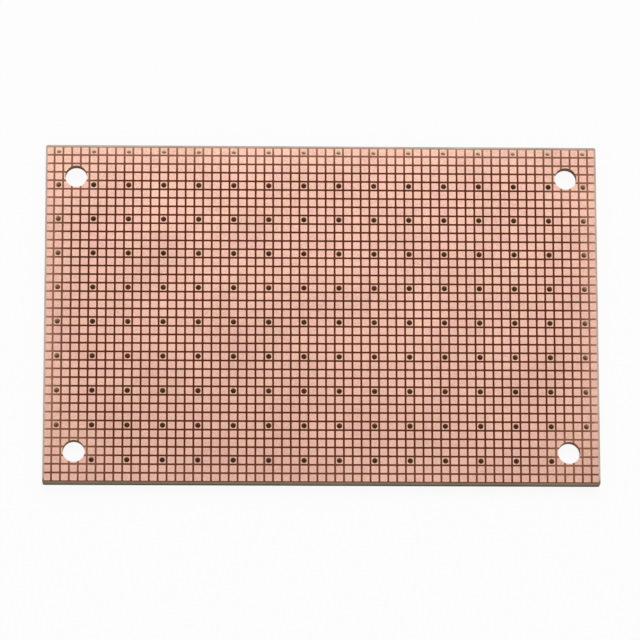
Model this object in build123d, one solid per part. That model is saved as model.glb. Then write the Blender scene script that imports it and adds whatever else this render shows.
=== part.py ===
from build123d import *

import math
import os

# A bare surface-mount prototype board, pads upward. All sizes are in millimetres.
# X runs along the board, Y runs across it and Z is up.
# The origin is under the middle of the board, on the plane that it rests on.

# Board
BOARD_LENGTH = 80.0
BOARD_WIDTH = 50.0
BOARD_THICKNESS = 1.6  # over the copper on both sides
CORNER_RADIUS = 0.3
COPPER_THICKNESS = 0.035
COPPER_INSET = 0.25  # from the cut edge of the board, on both sides

# Grid of square pads etched on the top
PAD_PITCH = 1.27
PAD_GAP = 0.25
LEAST_PAD_MARGIN = 0.1  # from the outer pads to the cut edge, before they are trimmed to the inset

# Unplated wire holes, each in the middle of a pad
WIRE_HOLE_DIAMETER = 0.8
WIRE_HOLE_SPACING = 4  # pads from one wire hole to the next, both ways
FIRST_WIRE_HOLE_COLUMN = 1
FIRST_WIRE_HOLE_ROW = 0

# Mounting holes, each centred on a pad in from a corner
MOUNTING_HOLE_DIAMETER = 3.2
MOUNTING_HOLE_INSET = 3  # pads in from the outer pads, both ways
LEAST_WALL_BETWEEN_HOLES = 0.3

# Worked out from the sizes above
PAD_SIZE = PAD_PITCH - PAD_GAP
COLUMNS = math.floor((BOARD_LENGTH - 2 * LEAST_PAD_MARGIN + PAD_GAP) / PAD_PITCH)
ROWS = math.floor((BOARD_WIDTH - 2 * LEAST_PAD_MARGIN + PAD_GAP) / PAD_PITCH)
LAMINATE_THICKNESS = BOARD_THICKNESS - 2 * COPPER_THICKNESS


def pad_centre(column, row):
    """The middle of a pad, with columns counted from the left end and rows from the far side."""
    return (column - (COLUMNS - 1) / 2) * PAD_PITCH, ((ROWS - 1) / 2 - row) * PAD_PITCH


def mounting_hole_centres():
    """The middles of the four mounting holes."""
    columns = (MOUNTING_HOLE_INSET, COLUMNS - 1 - MOUNTING_HOLE_INSET)
    rows = (MOUNTING_HOLE_INSET, ROWS - 1 - MOUNTING_HOLE_INSET)
    return [pad_centre(column, row) for row in rows for column in columns]


def clears_mounting_holes(centre):
    """Whether a wire hole leaves enough wall to every mounting hole."""
    least = (MOUNTING_HOLE_DIAMETER + WIRE_HOLE_DIAMETER) / 2 + LEAST_WALL_BETWEEN_HOLES
    return all(math.dist(centre, hole) >= least for hole in mounting_hole_centres())


def wire_hole_centres():
    """The middles of the wire holes. The near row leaves out its two end ones."""
    columns = range(FIRST_WIRE_HOLE_COLUMN, COLUMNS, WIRE_HOLE_SPACING)
    rows = range(FIRST_WIRE_HOLE_ROW, ROWS, WIRE_HOLE_SPACING)
    near_ends = {(columns[0], rows[-1]), (columns[-1], rows[-1])}
    places = [(column, row) for row in rows for column in columns]
    centres = [pad_centre(*place) for place in places if place not in near_ends]
    return [centre for centre in centres if clears_mounting_holes(centre)]


def circles(diameter, centres):
    """Equal circles in one plane."""
    return [Pos(x, y) * Circle(diameter / 2) for x, y in centres]


def holes_across(y, width):
    """The outlines of every hole that cuts into a band of the board, given the band's middle and width."""
    holes = []
    for diameter, centres in (
        (WIRE_HOLE_DIAMETER, wire_hole_centres()),
        (MOUNTING_HOLE_DIAMETER, mounting_hole_centres()),
    ):
        holes += circles(diameter, [c for c in centres if abs(c[1] - y) < (diameter + width) / 2])
    return holes


def copper_area():
    """The outline that the copper keeps to on both sides."""
    return Rectangle(BOARD_LENGTH - 2 * COPPER_INSET, BOARD_WIDTH - 2 * COPPER_INSET)


def layer(outline, bottom, thickness):
    """A flat layer of the board."""
    return Pos(0, 0, bottom) * extrude(outline, thickness)


def board_laminate():
    """The glass and epoxy core, cut to size with its corners just eased."""
    outline = RectangleRounded(BOARD_LENGTH, BOARD_WIDTH, CORNER_RADIUS) - holes_across(0, BOARD_WIDTH)
    return layer(outline, COPPER_THICKNESS, LAMINATE_THICKNESS)


def ground_plane():
    """The copper foil on the underside, whole but for the holes."""
    return layer(copper_area() - holes_across(0, BOARD_WIDTH), 0, COPPER_THICKNESS)


def pad_row(row):
    """One row of copper pads on the laminate. The end pads are trimmed, and so are those beside a big hole."""
    squares = [Pos(*pad_centre(column, row)) * Rectangle(PAD_SIZE, PAD_SIZE) for column in range(COLUMNS)]
    y = pad_centre(0, row)[1]
    outline = (Sketch() + squares) & copper_area()
    outline -= holes_across(y, PAD_SIZE)
    return layer(outline, COPPER_THICKNESS + LAMINATE_THICKNESS, COPPER_THICKNESS)


os.makedirs("parts", exist_ok=True)
export_step(board_laminate(), "parts/board_laminate.step")
export_step(ground_plane(), "parts/ground_plane.step")
for row in range(ROWS):
    export_step(pad_row(row), f"parts/pad_row_{row + 1:02d}.step")
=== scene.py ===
"""The looks of a bare surface-mount prototype board: copper pads on a drilled glass and epoxy board."""

import math

import bpy
from mathutils import Matrix, Vector


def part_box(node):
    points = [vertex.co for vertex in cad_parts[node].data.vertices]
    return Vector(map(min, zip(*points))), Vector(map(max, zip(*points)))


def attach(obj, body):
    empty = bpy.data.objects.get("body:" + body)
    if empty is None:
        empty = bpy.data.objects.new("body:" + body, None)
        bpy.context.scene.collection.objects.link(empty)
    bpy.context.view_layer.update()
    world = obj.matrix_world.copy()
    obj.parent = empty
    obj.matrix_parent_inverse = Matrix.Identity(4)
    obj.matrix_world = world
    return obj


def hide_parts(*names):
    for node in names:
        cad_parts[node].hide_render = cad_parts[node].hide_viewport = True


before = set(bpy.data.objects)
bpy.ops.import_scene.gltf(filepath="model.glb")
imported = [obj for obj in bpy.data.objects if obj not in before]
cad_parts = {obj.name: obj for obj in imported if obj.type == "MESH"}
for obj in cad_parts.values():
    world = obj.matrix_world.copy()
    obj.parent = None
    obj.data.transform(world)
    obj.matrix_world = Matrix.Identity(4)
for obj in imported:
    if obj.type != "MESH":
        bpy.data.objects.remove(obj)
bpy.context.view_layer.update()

MM = 0.001

# Grid of square pads, as the board was etched
PAD_PITCH = 1.27 * MM
PAD_GAP = 0.25 * MM
PAD_SIZE = PAD_PITCH - PAD_GAP
PAD_CORNER_RADIUS = 0.07 * MM
PAD_CORNER_STEPS = 2
PAD_EDGE_SLOPE = 0.014 * MM  # how far the etched edge leans in from foot to shoulder
COPPER_THICKNESS = 0.035 * MM
COPPER_INSET = 0.25 * MM  # from the cut edge of the board; the end pads are trimmed to it
LEAST_PAD_MARGIN = 0.1 * MM  # from the outer pads to the cut edge, before they are trimmed
MERGE_DISTANCE = 0.001 * MM  # corners of a pad nearer than this become one
COUNT_SLACK = 0.25  # counts of pads nearer than this are equal
UP_TO_A_NEIGHBOUR = 1.5  # takes in the next pad, and not the one beyond

# Holes, as the board was drilled
WIRE_HOLE_DIAMETER = 0.8 * MM
WIRE_HOLE_SPACING = 4
FIRST_WIRE_HOLE_COLUMN = 1
FIRST_WIRE_HOLE_ROW = 0
MOUNTING_HOLE_DIAMETER = 3.2 * MM
MOUNTING_HOLE_INSET = 3
DRILL_LENGTH = 1.0 * MM
WIRE_HOLE_SIDES = 28
MOUNTING_HOLE_SIDES = 84

# The board's own size comes from the frame
BOARD_LOW, BOARD_HIGH = (Vector(corner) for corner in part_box("board_laminate"))
BOARD_LENGTH = BOARD_HIGH.x - BOARD_LOW.x
BOARD_WIDTH = BOARD_HIGH.y - BOARD_LOW.y
PAD_FACE = BOARD_HIGH.z + COPPER_THICKNESS
COLUMNS = math.floor((BOARD_LENGTH - 2 * LEAST_PAD_MARGIN + PAD_GAP) / PAD_PITCH)
ROWS = math.floor((BOARD_WIDTH - 2 * LEAST_PAD_MARGIN + PAD_GAP) / PAD_PITCH)
MOUNTING_X = ((COLUMNS - 1) / 2 - MOUNTING_HOLE_INSET) * PAD_PITCH
MOUNTING_Y = ((ROWS - 1) / 2 - MOUNTING_HOLE_INSET) * PAD_PITCH

# The photograph's view, measured from the middle of the pad face
CAMERA_PLACE = Vector((-19.70, -152.83, 659.51)) * MM
CAMERA_AIM = Vector((-0.22, -0.93, 0.0)) * MM
CAMERA_ROLL = math.radians(-0.106)
CAMERA_LENS = 263.9
CAMERA_SENSOR = 36.0

# Light and floor
KEY_PLACE = (0.05, 0.84, 0.98)
KEY_SIZE = 0.55
KEY_POWER = 7.6
WORLD_STRENGTH = 0.52
FLOOR_HALF_WIDTH = 2.0
FLOOR_DROP = 0.01 * MM  # below the board, so that the two faces don't meet
FLOOR_WHITENESS = 0.92  # the share of white that the camera sees in the floor
PAINTED_SHADE_INSET = 0.1 * MM  # from the board's edge to the floor's painted shade under it
PAINTED_SHADE_CLEARANCE = 0.2 * MM  # from the mounting holes to the floor's painted shade round them
UNDERSIDE_RAY = 0.03 * MM  # a shorter ray to the floor comes from the board's underside
FLOOR_ROUGHNESS = 0.9

# Grain of the finishes, with its relief as a strength and a depth
PAD_GRAIN = {"Size": 0.22 * MM, "Cloud Size": 9 * MM, "Cloudiness": 0.25}
PLANE_GRAIN = {"Size": 0.2 * MM, "Cloud Size": 12 * MM, "Cloudiness": 0.5}
WEAVE_GRAIN = {"Size": 0.25 * MM, "Cloud Size": 6 * MM, "Cloudiness": 0.5}
PAD_RELIEF = (0.25, 0.004 * MM)
PLANE_RELIEF = (0.2, 0.004 * MM)
WEAVE_RELIEF = (0.3, 0.01 * MM)
GRAIN_MIDDLE = (0.35, 0.65)  # the part of the grain's shades that most places have
GRAIN_SPAN = (0.3, 0.7)
PLANE_MIDDLE = (0.7, 1.3)  # the middle of the grain and the brush lines added up
BRUSH_LINES = (60.0, 2500.0, 60.0)  # noise per metre along each axis
CUT_THREADS = (900.0, 900.0, 5000.0)  # noise per metre along each axis
CLOTH_LAYER = 0.18 * MM

# Light in the laminate
LIGHT_REACH = 6.5 * MM  # how far light gets into the laminate from its edges
LIGHT_FALLOFF = 3.0
NEAR_SIDE_LIGHT = 0.15  # the share of light that gets in at the near side
NEAR_SIDE = (0.5 * MM, 6.0 * MM)  # from the near edge, where that share begins to rise and is whole
NEAR_EDGE = (0.4 * MM, 0.9 * MM)  # from the near edge, where its painted light and shade begin to fade and are gone
WALL_DEPTH = 0.05 * MM  # a face this near to a mounting hole's rim is its wall
EDGE_DEPTH = 0.2 * MM  # a cut face further in than this is a wire hole's wall
THIN_WALL = (0.27, 0.7)  # light from the edge, from where light first comes through a wall to all of it
LIT_HEIGHTS = (0.3 * MM, 1.5 * MM)
LIT_SHARES = (0.6, 1.0)  # of the light through a thin wall, at those heights
UPRIGHT_NORMAL = (0.4, 0.6)  # the vertical part of a normal, from a cut face's to a flat one's
CUT_HEIGHTS = (0.4 * MM, 1.2 * MM)  # where a cut face turns from its painted shade at the foot to its colour at the top
NEAR_CUT_HEIGHTS = (0.5 * MM, 1.5 * MM)
NEAR_CUT_SHARE = 0.85  # of the near edge's painted light and shade in its cut face

# Darkest and lightest shades of the finishes, then the roughest and smoothest
PAD_SHADES = (0.77, 1.13)
PAD_OWN_SHADES = (0.985, 1.02)  # from one pad to another
PLANE_SHADES = (0.86, 1.02)
WEAVE_SHADES = (0.85, 1.15)
LAYER_SHADES = (0.70, 1.30)
PAD_ROUGHNESSES = (0.52, 0.40)
PLANE_ROUGHNESSES = (0.42, 0.30)
FACE_ROUGHNESS = 0.42
CUT_ROUGHNESS = 0.75
LAMINATE_SPECULAR = 0.05
PAD_RIM = (0.18, 0.34)  # where a pad's rim begins and is full, in pitches from the pad's middle
PAD_RIM_SHARE = 0.35

# Colours, linear
COPPER_PINK = (0.825, 0.472, 0.392)
COPPER_PEACH = (0.820, 0.510, 0.384)
COPPER_RIM = (0.860, 0.545, 0.450)
LAMINATE_OVER_COPPER = (0.122, 0.026, 0.008)
LAMINATE_LIT_GAP = (0.50, 0.245, 0.165)
# painted light in the laminate round the mounting holes
LAMINATE_LIT_BY_HOLE = (0.32, 0.145, 0.080)
# Past the copper: the bare laminate, paler with painted light from the cut edge, and painted shade at the
# near edge
LAMINATE_MARGIN = (0.57, 0.48, 0.405)
LAMINATE_NEAR_MARGIN_PAINTED_SHADE = (0.235, 0.175, 0.110)
LAMINATE_CUT_HIGH = (0.26, 0.225, 0.16)
# painted shade: the lower part of the cut edges darker
LAMINATE_CUT_PAINTED_SHADE_LOW = (0.13, 0.118, 0.085)
# painted light on the upper part of the near cut face, painted shade on its lower part
LAMINATE_NEAR_CUT_PAINTED_LIGHT_HIGH = (0.32, 0.27, 0.195)
LAMINATE_NEAR_CUT_PAINTED_SHADE_LOW = (0.078, 0.077, 0.056)
LAMINATE_IN_MOUNTING_HOLE = (0.34, 0.23, 0.14)
# wire hole walls, paler than the laminate with painted light that comes through it, paler still at a thin
# wall by the edge
LAMINATE_IN_WIRE_HOLE_PAINTED_LIGHT = (0.66, 0.455, 0.27)
LAMINATE_IN_EDGE_HOLE_PAINTED_LIGHT = (0.70, 0.64, 0.54)
LAMINATE_LIT_THROUGH = (0.375, 0.325, 0.25)
UNLIT = (0.0, 0.0, 0.0)
FLOOR_COLOUR = (0.86, 0.86, 0.85)
# painted shade: the floor under the board dark brown, seen through the wire holes
FLOOR_PAINTED_SHADE_UNDER_BOARD = (0.58, 0.38, 0.245)
WHITE = (1.0, 1.0, 1.0, 1.0)


def add(tree, kind, settings=None, inputs=None):
    """A new node in a tree, with its settings, and its inputs as values or as sockets to link."""
    node = tree.nodes.new(kind)
    for name, value in (settings or {}).items():
        setattr(node, name, value)
    for key, value in (inputs or {}).items():
        if isinstance(value, bpy.types.NodeSocket):
            tree.links.new(value, node.inputs[key])
        else:
            node.inputs[key].default_value = value
    return node


def calc(tree, operation, *values, clamp=False):
    """A Math node's output, worked out from values or sockets."""
    settings = {"operation": operation, "use_clamp": clamp}
    return add(tree, "ShaderNodeMath", settings, dict(enumerate(values))).outputs[0]


def on_vectors(tree, operation, *values):
    """A Vector Math node's output, worked out from vectors or sockets."""
    settings = {"operation": operation}
    return add(tree, "ShaderNodeVectorMath", settings, dict(enumerate(values))).outputs[0]


def scaled(tree, vector, factor):
    """A vector or a colour times a number."""
    inputs = {0: vector, "Scale": factor}
    return add(tree, "ShaderNodeVectorMath", {"operation": "SCALE"}, inputs).outputs[0]


def split(tree, vector):
    """A vector's parts, by name."""
    return add(tree, "ShaderNodeSeparateXYZ", inputs={0: vector}).outputs


def logic(tree, operation, *conditions):
    """Conditions joined by one Boolean operation, in a geometry tree."""
    result = conditions[0]
    for condition in conditions[1:]:
        settings = {"operation": operation}
        result = add(tree, "FunctionNodeBooleanMath", settings, {0: result, 1: condition}).outputs[0]
    return result


def both(tree, *conditions):
    """True where every condition is."""
    return logic(tree, "AND", *conditions)


def either(tree, *conditions):
    """True where any condition is."""
    return logic(tree, "OR", *conditions)


def negate(tree, condition):
    """True where a condition isn't."""
    return add(tree, "FunctionNodeBooleanMath", {"operation": "NOT"}, {0: condition}).outputs[0]


def compare(tree, operation, first, second):
    """A comparison of two counts of pads, in a geometry tree."""
    settings = {"data_type": "FLOAT", "operation": operation}
    inputs = {0: first, 1: second}
    if operation == "EQUAL":
        inputs["Epsilon"] = COUNT_SLACK
    return add(tree, "FunctionNodeCompare", settings, inputs).outputs[0]


def new_geometry_tree(name, sockets):
    """An empty geometry tree with named inputs, and the node that gives them out."""
    tree = bpy.data.node_groups.new(name, "GeometryNodeTree")
    for label, kind in sockets:
        tree.interface.new_socket(label, in_out="INPUT", socket_type=kind)
    tree.interface.new_socket("Geometry", in_out="OUTPUT", socket_type="NodeSocketGeometry")
    return tree, tree.nodes.new("NodeGroupInput").outputs


def join(tree, *parts):
    """Several geometries as one."""
    joined = add(tree, "GeometryNodeJoinGeometry")
    for part in parts:
        tree.links.new(part, joined.inputs[0])
    return joined.outputs[0]


def moved(tree, geometry, axis, distance):
    """A geometry moved along one axis."""
    offset = add(tree, "ShaderNodeCombineXYZ", inputs={axis: distance}).outputs[0]
    inputs = {"Geometry": geometry, "Translation": offset}
    return add(tree, "GeometryNodeTransform", inputs=inputs).outputs[0]


def pad_blank(tree, given, trimmed=0.0, shift=0.0):
    """A pad with no hole: eased corners, and an etched edge that leans in. End pads are trimmed."""
    width = calc(tree, "SUBTRACT", given["Pad Size"], trimmed)
    square = add(tree, "GeometryNodeCurvePrimitiveQuadrilateral", {"mode": "RECTANGLE"},
                 {"Width": width, "Height": given["Pad Size"]})
    eased = add(tree, "GeometryNodeFilletCurve", {"mode": "POLY"},
                {"Curve": square.outputs[0], "Count": PAD_CORNER_STEPS, "Radius": given["Corner Radius"]})
    foot = add(tree, "GeometryNodeFillCurve", {"mode": "NGONS"}, {"Curve": eased.outputs[0]}).outputs[0]
    raised = add(tree, "GeometryNodeExtrudeMesh", {"mode": "FACES"},
                 {"Mesh": foot, "Offset Scale": given["Thickness"]})
    shoulder = calc(tree, "MULTIPLY", given["Edge Slope"], 2.0)
    top_width = calc(tree, "SUBTRACT", given["Pad Size"], shoulder)
    narrower = calc(tree, "DIVIDE", top_width, given["Pad Size"])
    leaning = add(tree, "GeometryNodeScaleElements", {"domain": "FACE"},
                  {"Geometry": raised.outputs["Mesh"], "Selection": raised.outputs["Top"], "Scale": narrower})
    under = add(tree, "GeometryNodeFlipFaces", inputs={"Mesh": foot}).outputs[0]
    both_sides = join(tree, leaning.outputs[0], under)
    closed = add(tree, "GeometryNodeMergeByDistance",
                 inputs={"Geometry": both_sides, "Distance": MERGE_DISTANCE})
    return moved(tree, closed.outputs[0], "X", shift)


def drill(tree, diameter, sides):
    """A round cutter that passes well through the copper."""
    radius = calc(tree, "DIVIDE", diameter, 2.0)
    cutter = add(tree, "GeometryNodeMeshCylinder", {"fill_type": "NGON"},
                 {"Vertices": sides, "Radius": radius, "Depth": DRILL_LENGTH})
    return cutter.outputs["Mesh"]


def at_points(tree, points, selection, shape):
    """Copies of a shape at the chosen points."""
    return add(tree, "GeometryNodeInstanceOnPoints",
               inputs={"Points": points, "Selection": selection, "Instance": shape}).outputs[0]


def realized(tree, geometry):
    """Instances turned into a mesh."""
    return add(tree, "GeometryNodeRealizeInstances", inputs={"Geometry": geometry}).outputs[0]


def pad_grid(tree, given):
    """A point for each pad, then each point's column with the last column, and its row with the last row."""
    last_column = calc(tree, "SUBTRACT", given["Columns"], 1.0)
    last_row = calc(tree, "SUBTRACT", given["Rows"], 1.0)
    grid = add(tree, "GeometryNodeMeshGrid", inputs={
        "Size X": calc(tree, "MULTIPLY", last_column, given["Pitch"]),
        "Size Y": calc(tree, "MULTIPLY", last_row, given["Pitch"]),
        "Vertices X": given["Columns"], "Vertices Y": given["Rows"],
    }).outputs["Mesh"]
    place = split(tree, add(tree, "GeometryNodeInputPosition").outputs[0])
    across = calc(tree, "DIVIDE", place["X"], given["Pitch"])
    along = calc(tree, "DIVIDE", place["Y"], given["Pitch"])
    column = calc(tree, "ROUND", calc(tree, "ADD", across, calc(tree, "DIVIDE", last_column, 2.0)))
    row = calc(tree, "ROUND", calc(tree, "SUBTRACT", calc(tree, "DIVIDE", last_row, 2.0), along))
    return grid, (column, last_column), (row, last_row)


def pads_with_wire_holes(tree, given, columns, rows):
    """The pads on the holes' spacing both ways. The near row of holes leaves out its two end ones."""
    (column, last_column), (row, last_row) = columns, rows
    first_column, first_row, spacing = given["First Column"], given["First Row"], given["Wire Hole Spacing"]

    def on_spacing(number, first):
        """Whether a column or row is one that has wire holes."""
        steps = calc(tree, "FLOORED_MODULO", calc(tree, "SUBTRACT", number, first), spacing)
        return compare(tree, "EQUAL", steps, 0.0)

    def last_on_spacing(last, first):
        """The last column or row that has wire holes."""
        whole = calc(tree, "FLOOR", calc(tree, "DIVIDE", calc(tree, "SUBTRACT", last, first), spacing))
        return calc(tree, "ADD", first, calc(tree, "MULTIPLY", whole, spacing))

    end_column = last_on_spacing(last_column, first_column)
    end_row = last_on_spacing(last_row, first_row)
    end_of_row = either(tree, compare(tree, "EQUAL", column, first_column),
                        compare(tree, "EQUAL", column, end_column))
    left_out = both(tree, end_of_row, compare(tree, "EQUAL", row, end_row))
    return both(tree, on_spacing(column, first_column), on_spacing(row, first_row), negate(tree, left_out))


def pads_from_mounting_hole(tree, given, number, last):
    """How many pads a column or row is away from the nearest mounting hole's."""
    inward = calc(tree, "MINIMUM", number, calc(tree, "SUBTRACT", last, number))
    return calc(tree, "ABSOLUTE", calc(tree, "SUBTRACT", inward, given["Mounting Hole Inset"]))


def end_trim(tree, given, last_column):
    """How much of an end pad would lie past the end of the copper."""
    span = calc(tree, "MULTIPLY", last_column, given["Pitch"])
    outer_edge = calc(tree, "DIVIDE", calc(tree, "ADD", span, given["Pad Size"]), 2.0)
    copper_end = calc(tree, "DIVIDE", given["Copper Length"], 2.0)
    return calc(tree, "MAXIMUM", calc(tree, "SUBTRACT", outer_edge, copper_end), 0.0)


def etched_pads_tree():
    """Every pad of the board, with the wire holes and mounting holes drilled through the copper."""
    tree, given = new_geometry_tree("etched pads", [
        ("Columns", "NodeSocketInt"), ("Rows", "NodeSocketInt"),
        ("Pitch", "NodeSocketFloat"), ("Pad Size", "NodeSocketFloat"),
        ("Corner Radius", "NodeSocketFloat"), ("Edge Slope", "NodeSocketFloat"),
        ("Thickness", "NodeSocketFloat"), ("Foot Height", "NodeSocketFloat"),
        ("Wire Hole Diameter", "NodeSocketFloat"), ("Wire Hole Spacing", "NodeSocketFloat"),
        ("First Column", "NodeSocketFloat"), ("First Row", "NodeSocketFloat"),
        ("Mounting Hole Diameter", "NodeSocketFloat"), ("Mounting Hole Inset", "NodeSocketFloat"),
        ("Copper Length", "NodeSocketFloat"), ("Material", "NodeSocketMaterial"),
    ])
    grid, columns, rows = pad_grid(tree, given)
    column, last_column = columns

    has_wire_hole = pads_with_wire_holes(tree, given, columns, rows)
    columns_away = pads_from_mounting_hole(tree, given, *columns)
    rows_away = pads_from_mounting_hole(tree, given, *rows)
    at_mounting_hole = both(tree, compare(tree, "EQUAL", columns_away, 0.0),
                            compare(tree, "EQUAL", rows_away, 0.0))
    by_mounting_hole = both(tree, compare(tree, "LESS_THAN", columns_away, UP_TO_A_NEIGHBOUR),
                            compare(tree, "LESS_THAN", rows_away, UP_TO_A_NEIGHBOUR))
    drilled = either(tree, has_wire_hole, by_mounting_hole)
    whole = negate(tree, drilled)

    trimmed = end_trim(tree, given, last_column)
    to_right = calc(tree, "DIVIDE", trimmed, 2.0)
    to_left = calc(tree, "MULTIPLY", to_right, -1.0)
    at_left = compare(tree, "EQUAL", column, 0.0)
    at_right = compare(tree, "EQUAL", column, last_column)
    between = negate(tree, either(tree, at_left, at_right))
    blanks = ((between, pad_blank(tree, given)), (at_left, pad_blank(tree, given, trimmed, to_right)),
              (at_right, pad_blank(tree, given, trimmed, to_left)))

    def blanks_at(selection):
        """Blanks at the chosen pads, trimmed at both ends of the board."""
        chosen = [at_points(tree, grid, both(tree, selection, end), blank) for end, blank in blanks]
        return join(tree, *chosen)

    wire_drill = drill(tree, given["Wire Hole Diameter"], WIRE_HOLE_SIDES)
    mounting_drill = drill(tree, given["Mounting Hole Diameter"], MOUNTING_HOLE_SIDES)
    drills = join(tree, at_points(tree, grid, has_wire_hole, wire_drill),
                  at_points(tree, grid, at_mounting_hole, mounting_drill))
    holed = add(tree, "GeometryNodeMeshBoolean", {"operation": "DIFFERENCE"}, {
        "Mesh 1": realized(tree, blanks_at(drilled)), "Mesh 2": realized(tree, drills),
    }).outputs["Mesh"]
    pads = realized(tree, join(tree, blanks_at(whole), holed))
    raised = moved(tree, pads, "Z", given["Foot Height"])
    coloured = add(tree, "GeometryNodeSetMaterial",
                   inputs={"Geometry": raised, "Material": given["Material"]}).outputs[0]
    add(tree, "NodeGroupOutput", inputs={0: coloured})
    return tree


def made_by(tree, name, values):
    """The plain mesh object that a geometry tree makes from its named inputs."""
    piece = bpy.data.objects.new(name, bpy.data.meshes.new(name))
    bpy.context.scene.collection.objects.link(piece)
    modifier = piece.modifiers.new("make", "NODES")
    modifier.node_group = tree
    for item in tree.interface.items_tree:
        if item.item_type == "SOCKET" and item.in_out == "INPUT":
            modifier[item.identifier] = values[item.name]
    graph = bpy.context.evaluated_depsgraph_get()
    mesh = bpy.data.meshes.new_from_object(piece.evaluated_get(graph))
    piece.modifiers.clear()
    piece.data = mesh
    mesh.name = name
    return piece


def new_material(name):
    """A material with an empty tree, its shader and its object coordinates."""
    material = bpy.data.materials.new(name)
    material.use_nodes = True
    tree = material.node_tree
    tree.nodes.clear()
    shader = tree.nodes.new("ShaderNodeBsdfPrincipled")
    add(tree, "ShaderNodeOutputMaterial", inputs={"Surface": shader.outputs[0]})
    place = tree.nodes.new("ShaderNodeTexCoord").outputs["Object"]
    return material, tree, shader, place


def mix_colour(tree, factor, first, second):
    """A Mix node's colour output."""
    node = add(tree, "ShaderNodeMix", {"data_type": "RGBA"}, {0: factor})
    for index, colour in ((6, first), (7, second)):
        if isinstance(colour, bpy.types.NodeSocket):
            tree.links.new(colour, node.inputs[index])
        else:
            node.inputs[index].default_value = (*colour, 1.0)
    return node.outputs[2]


def noise(tree, place, scale, detail=2.0, roughness=0.5):
    """A Noise Texture's value."""
    return add(tree, "ShaderNodeTexNoise", inputs={
        "Vector": place, "Scale": scale, "Detail": detail, "Roughness": roughness}).outputs[0]


def stretched(tree, place, scale):
    """Coordinates stretched along each axis."""
    return add(tree, "ShaderNodeMapping", inputs={"Vector": place, "Scale": scale}).outputs[0]


def ranged(tree, value, low, high, to_low=0.0, to_high=1.0):
    """A value carried from one range to another and held inside it."""
    return add(tree, "ShaderNodeMapRange", {"clamp": True}, {
        "Value": value, "From Min": low, "From Max": high, "To Min": to_low, "To Max": to_high}).outputs[0]


def shader_group(name, inputs, outputs):
    """An empty shader group with named number or vector inputs and named outputs."""
    tree = bpy.data.node_groups.new(name, "ShaderNodeTree")
    for label, kind in inputs:
        tree.interface.new_socket(label, in_out="INPUT", socket_type=kind)
    for label, kind in outputs:
        tree.interface.new_socket(label, in_out="OUTPUT", socket_type=kind)
    return tree, tree.nodes.new("NodeGroupInput").outputs


def grain_group():
    """Fine speckle with a few larger clouds: the grain of rolled foil or of woven glass under resin."""
    tree, given = shader_group("grain", [
        ("Vector", "NodeSocketVector"), ("Size", "NodeSocketFloat"), ("Cloud Size", "NodeSocketFloat"),
        ("Cloudiness", "NodeSocketFloat"),
    ], [("Shade", "NodeSocketFloat"), ("Height", "NodeSocketFloat")])
    fine = noise(tree, given["Vector"], calc(tree, "DIVIDE", 1.0, given["Size"]), detail=3.0, roughness=0.65)
    cloud = noise(tree, given["Vector"], calc(tree, "DIVIDE", 1.0, given["Cloud Size"]), detail=2.0)
    blend = add(tree, "ShaderNodeMix", {"data_type": "FLOAT"}, {0: given["Cloudiness"], 2: fine, 3: cloud})
    add(tree, "NodeGroupOutput", inputs={"Shade": blend.outputs[0], "Height": fine})
    return tree


def from_mounting_hole(tree, x, y):
    """How far a place is from the nearest mounting hole's middle. Its x and y come without their signs."""
    dx = calc(tree, "SUBTRACT", x, MOUNTING_X)
    dy = calc(tree, "SUBTRACT", y, MOUNTING_Y)
    squares = calc(tree, "ADD", calc(tree, "MULTIPLY", dx, dx), calc(tree, "MULTIPLY", dy, dy))
    return calc(tree, "SQRT", squares)


def openness_group():
    """Where light gets into the laminate sideways, and which of its faces a place is on."""
    tree, given = shader_group("openness", [
        ("Vector", "NodeSocketVector"), ("Reach", "NodeSocketFloat"),
    ], [("Edge", "NodeSocketFloat"), ("Hole", "NodeSocketFloat"), ("Margin", "NodeSocketFloat"),
        ("Wall", "NodeSocketFloat"), ("Within", "NodeSocketFloat"), ("Near Painted Shading", "NodeSocketFloat")])
    place = split(tree, given["Vector"])
    x = calc(tree, "ABSOLUTE", place["X"])
    y = calc(tree, "ABSOLUTE", place["Y"])
    to_edge = calc(tree, "MINIMUM", calc(tree, "SUBTRACT", BOARD_LENGTH / 2, x),
                   calc(tree, "SUBTRACT", BOARD_WIDTH / 2, y))
    to_hole = calc(tree, "SUBTRACT", from_mounting_hole(tree, x, y), MOUNTING_HOLE_DIAMETER / 2)
    from_near = calc(tree, "ADD", place["Y"], BOARD_WIDTH / 2)

    def fading(distance):
        """Light that fades to nothing over its reach."""
        left = ranged(tree, calc(tree, "DIVIDE", distance, given["Reach"]), 0.0, 1.0, 1.0, 0.0)
        return calc(tree, "POWER", left, LIGHT_FALLOFF)

    near_side_dimmer = ranged(tree, from_near, *NEAR_SIDE, NEAR_SIDE_LIGHT, 1.0)
    add(tree, "NodeGroupOutput", inputs={
        "Edge": calc(tree, "MULTIPLY", fading(to_edge), near_side_dimmer),
        "Hole": fading(to_hole),
        "Margin": calc(tree, "LESS_THAN", to_edge, COPPER_INSET),
        "Wall": calc(tree, "LESS_THAN", to_hole, WALL_DEPTH),
        "Within": calc(tree, "GREATER_THAN", calc(tree, "MINIMUM", to_edge, to_hole), EDGE_DEPTH),
        "Near Painted Shading": ranged(tree, from_near, *NEAR_EDGE, 1.0, 0.0)})
    return tree


def placed(tree, group, inputs):
    """A shader group placed in a material."""
    return add(tree, "ShaderNodeGroup", {"node_tree": group}, inputs).outputs


def set_relief(tree, shader, strength, distance, height):
    """A fine relief in a material's normal."""
    bump = add(tree, "ShaderNodeBump", inputs={"Strength": strength, "Distance": distance, "Height": height})
    tree.links.new(bump.outputs[0], shader.inputs["Normal"])


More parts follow.
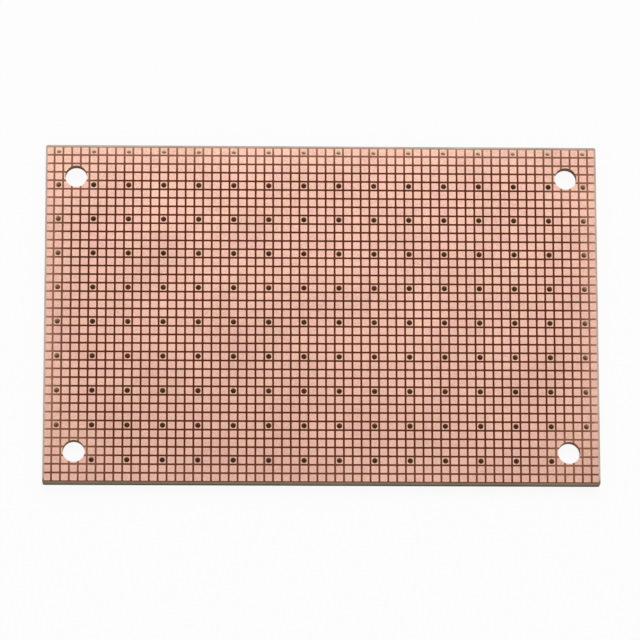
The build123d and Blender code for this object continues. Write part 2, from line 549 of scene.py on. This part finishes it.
def pad_copper(grain):
    """Bare etched copper with its own tint from pad to pad, lighter rims and a fine speckle."""
    material, tree, shader, place = new_material("pad copper")
    corner = Vector((COLUMNS / 2, ROWS / 2, 0.0)) * PAD_PITCH
    in_pads = scaled(tree, on_vectors(tree, "ADD", place, corner), 1.0 / PAD_PITCH)
    flat = on_vectors(tree, "MULTIPLY", in_pads, (1.0, 1.0, 0.0))
    cell = on_vectors(tree, "FLOOR", flat)
    random = add(tree, "ShaderNodeTexWhiteNoise", {"noise_dimensions": "3D"}, {"Vector": cell})
    centred = on_vectors(tree, "SUBTRACT", on_vectors(tree, "FRACTION", flat), (0.5, 0.5, 0.0))
    in_pad = split(tree, on_vectors(tree, "ABSOLUTE", centred))
    rim = ranged(tree, calc(tree, "MAXIMUM", in_pad["X"], in_pad["Y"]), *PAD_RIM)
    speckle = placed(tree, grain, {"Vector": place, **PAD_GRAIN})
    tint = mix_colour(tree, random.outputs["Value"], COPPER_PINK, COPPER_PEACH)
    paler = mix_colour(tree, calc(tree, "MULTIPLY", rim, PAD_RIM_SHARE), tint, COPPER_RIM)
    own_shade = add(tree, "ShaderNodeSeparateColor", inputs={0: random.outputs["Color"]}).outputs[1]
    shade = calc(tree, "MULTIPLY", ranged(tree, speckle["Shade"], *GRAIN_MIDDLE, *PAD_SHADES),
                 ranged(tree, own_shade, 0.0, 1.0, *PAD_OWN_SHADES))
    tree.links.new(scaled(tree, paler, shade), shader.inputs["Base Color"])
    shader.inputs["Metallic"].default_value = 1.0
    tree.links.new(ranged(tree, speckle["Shade"], *GRAIN_SPAN, *PAD_ROUGHNESSES), shader.inputs["Roughness"])
    set_relief(tree, shader, *PAD_RELIEF, speckle["Height"])
    return material


def plane_copper(grain):
    """Bare rolled copper foil with faint brush lines."""
    material, tree, shader, place = new_material("ground plane copper")
    speckle = placed(tree, grain, {"Vector": place, **PLANE_GRAIN})
    lines = noise(tree, stretched(tree, place, BRUSH_LINES), 1.0, detail=4.0)
    tint = mix_colour(tree, speckle["Shade"], COPPER_PINK, COPPER_PEACH)
    shade = ranged(tree, calc(tree, "ADD", speckle["Shade"], lines), *PLANE_MIDDLE, *PLANE_SHADES)
    tree.links.new(scaled(tree, tint, shade), shader.inputs["Base Color"])
    shader.inputs["Metallic"].default_value = 1.0
    tree.links.new(ranged(tree, lines, *GRAIN_SPAN, *PLANE_ROUGHNESSES), shader.inputs["Roughness"])
    set_relief(tree, shader, *PLANE_RELIEF, lines)
    return material


def etched_face(tree, light):
    """The laminate's flat face: red-brown over the copper, with painted light where light gets in, paler past
    the copper, and painted shade on the margin at the near edge.
    """
    face = mix_colour(tree, light["Edge"], LAMINATE_OVER_COPPER, LAMINATE_LIT_GAP)
    face = mix_colour(tree, light["Hole"], face, LAMINATE_LIT_BY_HOLE)
    # painted shade on the margin at the near edge
    margin = mix_colour(tree, light["Near Painted Shading"], LAMINATE_MARGIN, LAMINATE_NEAR_MARGIN_PAINTED_SHADE)
    return mix_colour(tree, light["Margin"], face, margin)


def cut_face(tree, light, place, height, thin):
    """The laminate's sawn edges and hole walls, with the layers of the cloth in them, painted shade toward
    their foot, painted light and shade on the near edge, and painted light in the wire holes' walls.
    """
    layers = calc(tree, "SINE", calc(tree, "MULTIPLY", height, 2 * math.pi / CLOTH_LAYER))
    threads = noise(tree, stretched(tree, place, CUT_THREADS), 1.0, detail=3.0)
    strata = calc(tree, "ADD", ranged(tree, layers, -1.0, 1.0, 0.0, 0.5),
                  calc(tree, "MULTIPLY", threads, 0.5))
    # painted shade toward the foot of the cut faces
    up = ranged(tree, height, *CUT_HEIGHTS)
    # painted light and shade on the near cut face
    up_near_edge = ranged(tree, height, *NEAR_CUT_HEIGHTS)
    cut = mix_colour(tree, up, LAMINATE_CUT_PAINTED_SHADE_LOW, LAMINATE_CUT_HIGH)
    near_cut_painted_shading = mix_colour(tree, up_near_edge, LAMINATE_NEAR_CUT_PAINTED_SHADE_LOW, LAMINATE_NEAR_CUT_PAINTED_LIGHT_HIGH)
    cut = mix_colour(tree, calc(tree, "MULTIPLY", light["Near Painted Shading"], NEAR_CUT_SHARE), cut, near_cut_painted_shading)
    cut = mix_colour(tree, light["Wall"], cut, LAMINATE_IN_MOUNTING_HOLE)
    layered = scaled(tree, cut, ranged(tree, strata, 0.0, 1.0, *LAYER_SHADES))
    # painted light in the wire holes' walls
    inside = mix_colour(tree, thin, LAMINATE_IN_WIRE_HOLE_PAINTED_LIGHT, LAMINATE_IN_EDGE_HOLE_PAINTED_LIGHT)
    return mix_colour(tree, light["Within"], layered, inside)


def bare_laminate(grain, openness):
    """Glass cloth in epoxy. A little light comes through it where a wire hole leaves only a thin wall."""
    material, tree, shader, place = new_material("glass and epoxy laminate")
    light = placed(tree, openness, {"Vector": place, "Reach": LIGHT_REACH})
    speckle = placed(tree, grain, {"Vector": place, **WEAVE_GRAIN})
    height = split(tree, place)["Z"]
    thin = ranged(tree, light["Edge"], *THIN_WALL)
    normal = split(tree, add(tree, "ShaderNodeNewGeometry").outputs["Normal"])["Z"]
    upright = ranged(tree, calc(tree, "ABSOLUTE", normal), *UPRIGHT_NORMAL, 1.0, 0.0)
    colour = mix_colour(tree, upright, etched_face(tree, light), cut_face(tree, light, place, height, thin))
    tone = scaled(tree, colour, ranged(tree, speckle["Shade"], *GRAIN_MIDDLE, *WEAVE_SHADES))
    tree.links.new(tone, shader.inputs["Base Color"])
    lit_through = calc(tree, "MULTIPLY", calc(tree, "MULTIPLY", upright, light["Within"]), thin)
    lit_through = calc(tree, "MULTIPLY", lit_through, ranged(tree, height, *LIT_HEIGHTS, *LIT_SHARES))
    glow = mix_colour(tree, lit_through, UNLIT, LAMINATE_LIT_THROUGH)
    tree.links.new(glow, shader.inputs["Emission Color"])
    shader.inputs["Emission Strength"].default_value = 1.0
    roughness = ranged(tree, upright, 0.0, 1.0, FACE_ROUGHNESS, CUT_ROUGHNESS)
    tree.links.new(roughness, shader.inputs["Roughness"])
    shader.inputs["Specular IOR Level"].default_value = LAMINATE_SPECULAR
    set_relief(tree, shader, *WEAVE_RELIEF, speckle["Height"])
    return material


def set_materials():
    """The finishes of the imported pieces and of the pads."""
    grain = grain_group()
    openness = openness_group()
    finishes = {"board_laminate": bare_laminate(grain, openness), "ground_plane": plane_copper(grain)}
    for node, material in finishes.items():
        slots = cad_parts[node].data.materials
        slots.clear()
        slots.append(material)
    return pad_copper(grain)


def make_pads(material):
    """The copper pads, standing on the laminate."""
    pads = made_by(etched_pads_tree(), "copper_pads", {
        "Columns": COLUMNS, "Rows": ROWS, "Pitch": PAD_PITCH, "Pad Size": PAD_SIZE,
        "Corner Radius": PAD_CORNER_RADIUS, "Edge Slope": PAD_EDGE_SLOPE,
        "Thickness": COPPER_THICKNESS, "Foot Height": BOARD_HIGH.z,
        "Wire Hole Diameter": WIRE_HOLE_DIAMETER, "Wire Hole Spacing": float(WIRE_HOLE_SPACING),
        "First Column": float(FIRST_WIRE_HOLE_COLUMN), "First Row": float(FIRST_WIRE_HOLE_ROW),
        "Mounting Hole Diameter": MOUNTING_HOLE_DIAMETER, "Mounting Hole Inset": float(MOUNTING_HOLE_INSET),
        "Copper Length": BOARD_LENGTH - 2 * COPPER_INSET, "Material": material,
    })
    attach(pads, "root")
    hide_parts(*sorted(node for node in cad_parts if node.startswith("pad_row_")))


def floor_material():
    """A pale floor, white to the camera but for the board's soft shadow, with painted shade under the board,
    and clear from below.
    """
    material, tree, shader, place = new_material("floor")
    shader.inputs["Roughness"].default_value = FLOOR_ROUGHNESS
    spot = split(tree, place)
    x = calc(tree, "ABSOLUTE", spot["X"])
    y = calc(tree, "ABSOLUTE", spot["Y"])
    under = calc(tree, "MULTIPLY", calc(tree, "LESS_THAN", x, BOARD_LENGTH / 2 - PAINTED_SHADE_INSET),
                 calc(tree, "LESS_THAN", y, BOARD_WIDTH / 2 - PAINTED_SHADE_INSET))
    in_hole = calc(tree, "LESS_THAN", from_mounting_hole(tree, x, y),
                   MOUNTING_HOLE_DIAMETER / 2 + PAINTED_SHADE_CLEARANCE)
    # the floor under the board, but for the mounting holes, has painted shade
    painted_shade_area = calc(tree, "MULTIPLY", under, calc(tree, "SUBTRACT", 1.0, in_hole))
    tree.links.new(mix_colour(tree, painted_shade_area, FLOOR_COLOUR, FLOOR_PAINTED_SHADE_UNDER_BOARD), shader.inputs["Base Color"])
    path = tree.nodes.new("ShaderNodeLightPath").outputs
    seen = calc(tree, "ADD", calc(tree, "ADD", path["Is Camera Ray"], path["Is Glossy Ray"]),
                path["Is Transmission Ray"], clamp=True)
    share = calc(tree, "MULTIPLY", calc(tree, "MULTIPLY", seen, FLOOR_WHITENESS),
                 calc(tree, "SUBTRACT", 1.0, painted_shade_area))
    white = add(tree, "ShaderNodeEmission", inputs={"Color": WHITE, "Strength": 1.0}).outputs[0]
    mixed = add(tree, "ShaderNodeMixShader", inputs={0: share, 1: shader.outputs[0], 2: white}).outputs[0]
    from_underside = calc(tree, "MULTIPLY", painted_shade_area,
                          calc(tree, "LESS_THAN", path["Ray Length"], UNDERSIDE_RAY))
    below = add(tree, "ShaderNodeNewGeometry").outputs["Backfacing"]
    clear = add(tree, "ShaderNodeMixShader", inputs={
        0: calc(tree, "MAXIMUM", below, from_underside), 1: mixed,
        2: add(tree, "ShaderNodeBsdfTransparent").outputs[0]}).outputs[0]
    tree.links.new(clear, tree.nodes["Material Output"].inputs["Surface"])
    return material


def make_floor():
    """The table top that the board lies on."""
    half = FLOOR_HALF_WIDTH
    corners = [(-half, -half, 0), (half, -half, 0), (half, half, 0), (-half, half, 0)]
    mesh = bpy.data.meshes.new("floor")
    mesh.from_pydata(corners, [], [(0, 1, 2, 3)])
    floor = bpy.data.objects.new("floor", mesh)
    floor.location.z = -FLOOR_DROP
    mesh.materials.append(floor_material())
    bpy.context.scene.collection.objects.link(floor)


def make_world():
    """Even white light from all round, seen as white by the camera."""
    world = bpy.data.worlds.new("studio")
    bpy.context.scene.world = world
    world.use_nodes = True
    tree = world.node_tree
    tree.nodes.clear()
    path = tree.nodes.new("ShaderNodeLightPath").outputs
    seen = calc(tree, "ADD", path["Is Camera Ray"], path["Is Transmission Ray"], clamp=True)
    strength = ranged(tree, seen, 0.0, 1.0, WORLD_STRENGTH, 1.0)
    light = add(tree, "ShaderNodeBackground", inputs={"Color": WHITE, "Strength": strength})
    add(tree, "ShaderNodeOutputWorld", inputs={"Surface": light.outputs[0]})


def make_lamp(name, place, aim, size, power):
    """A large square soft lamp."""
    data = bpy.data.lights.new(name, "AREA")
    data.shape = "SQUARE"
    data.size = size
    data.energy = power
    lamp = bpy.data.objects.new(name, data)
    lamp.location = place
    lamp.rotation_euler = (Vector(aim) - Vector(place)).to_track_quat("-Z", "Y").to_euler()
    bpy.context.scene.collection.objects.link(lamp)


def make_camera():
    """The photograph's view: from above, a little to the front and left, with the far side up."""
    data = bpy.data.cameras.new("camera")
    data.lens = CAMERA_LENS
    data.sensor_width = CAMERA_SENSOR
    camera = bpy.data.objects.new("camera", data)
    bpy.context.scene.collection.objects.link(camera)
    pad_face_centre = Vector((0.0, 0.0, PAD_FACE))
    back = (CAMERA_PLACE - CAMERA_AIM).normalized()
    right = Vector((0.0, 1.0, 0.0)).cross(back).normalized()
    turn = Matrix((right, back.cross(right), back)).transposed()
    turn = Matrix.Rotation(CAMERA_ROLL, 3, back) @ turn
    camera.matrix_world = Matrix.Translation(pad_face_centre + CAMERA_PLACE) @ turn.to_4x4()
    bpy.context.scene.camera = camera


make_camera()
make_world()
make_lamp("key", KEY_PLACE, (0, 0, 0), KEY_SIZE, KEY_POWER)
make_floor()
make_pads(set_materials())
bpy.context.scene.view_settings.view_transform = "Standard"
